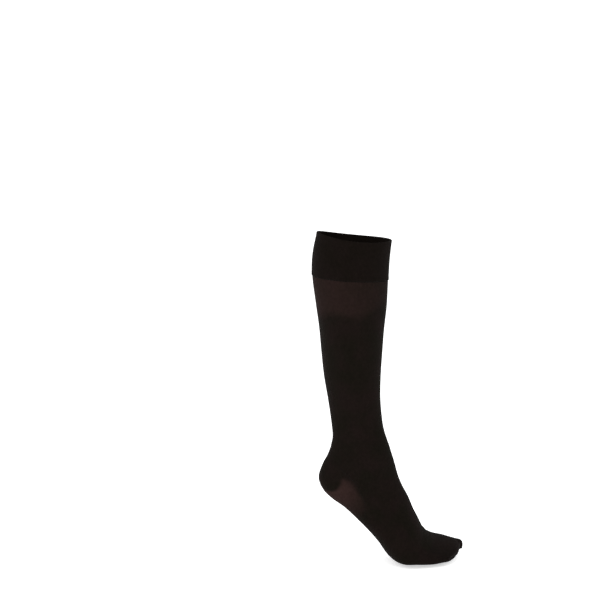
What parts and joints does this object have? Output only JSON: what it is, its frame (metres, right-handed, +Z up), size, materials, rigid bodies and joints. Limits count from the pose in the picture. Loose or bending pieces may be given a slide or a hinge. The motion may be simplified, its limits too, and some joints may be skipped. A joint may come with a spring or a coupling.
{
  "type": "knee-high compression stocking",
  "caption": "Knee-high closed-toe compression stocking in its worn hollow form on a lifted right foot, with a double top band, a heel pouch and a seamed toe.",
  "frame": {"origin": "middle of the top opening, where the band holds on the leg", "axes": "+Z up the leg and out of the top opening, +X toward the toes, -Y the outer side of a right leg"},
  "size_m": [0.2224, 0.1074, 0.4767],
  "materials": {
    "band_knit": "black double knit, matte and opaque",
    "leg_knit": "black compression knit, matte, a little sheer under the band",
    "heel_knit": "black pouch knit, sheer at its border and dense at the heel tip",
    "foot_knit": "black compression knit, matte",
    "toe_knit": "black reinforced knit, matte, with a flat toe seam"
  },
  "bodies": {
    "root": {"top_band": "band_knit", "leg": "leg_knit", "heel": "heel_knit", "foot": "foot_knit", "toe": "toe_knit"}
  },
  "joints": []
}
